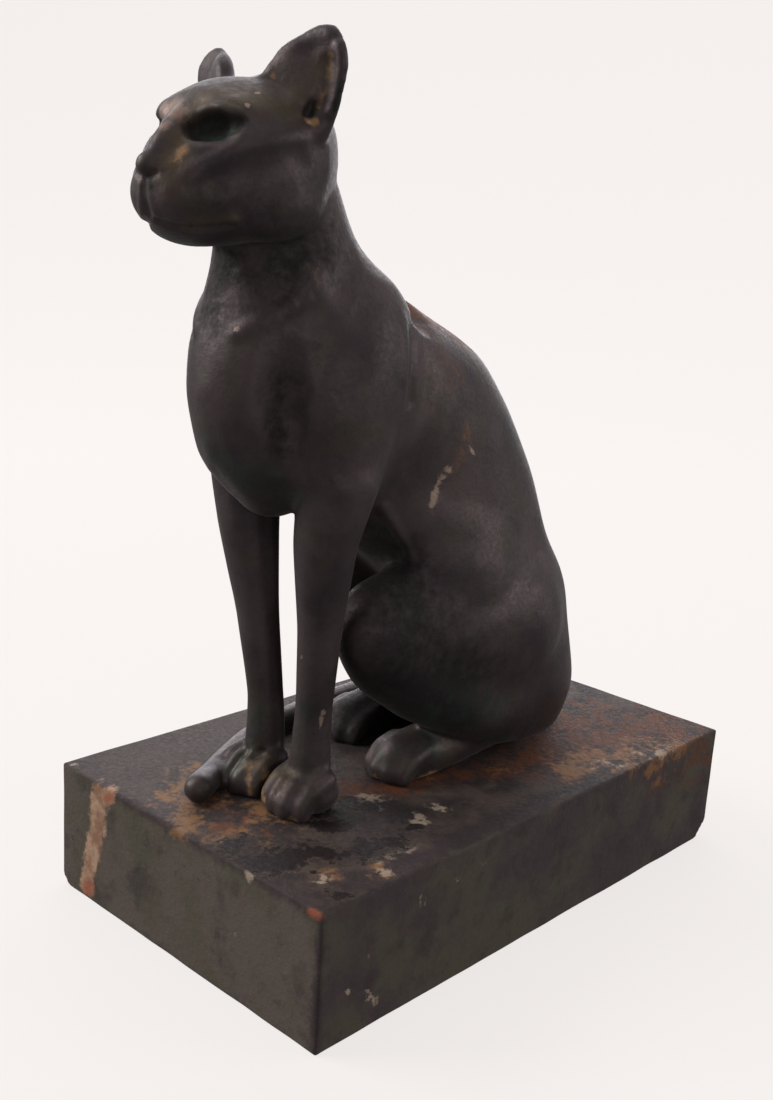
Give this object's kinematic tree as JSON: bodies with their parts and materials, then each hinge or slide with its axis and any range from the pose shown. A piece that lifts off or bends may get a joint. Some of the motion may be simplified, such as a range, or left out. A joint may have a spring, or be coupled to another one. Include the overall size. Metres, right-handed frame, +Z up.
{
  "type": "cat statue",
  "caption": "Seated bronze cat in an ancient style, upright and alert, tail curled forward, on a worn rectangular wooden block.",
  "frame": {"origin": "centre of the plinth's underside", "axes": "+Z up, -Y the way the cat faces, +X to the cat's left"},
  "size_m": [0.1296, 0.2304, 0.2795],
  "materials": {
    "patinated_bronze": "dark brown patina, satin",
    "dark_stained_wood": "dark stain, worn, matt"
  },
  "bodies": {
    "root": {"cat": "patinated_bronze", "plinth": "dark_stained_wood"}
  },
  "joints": []
}
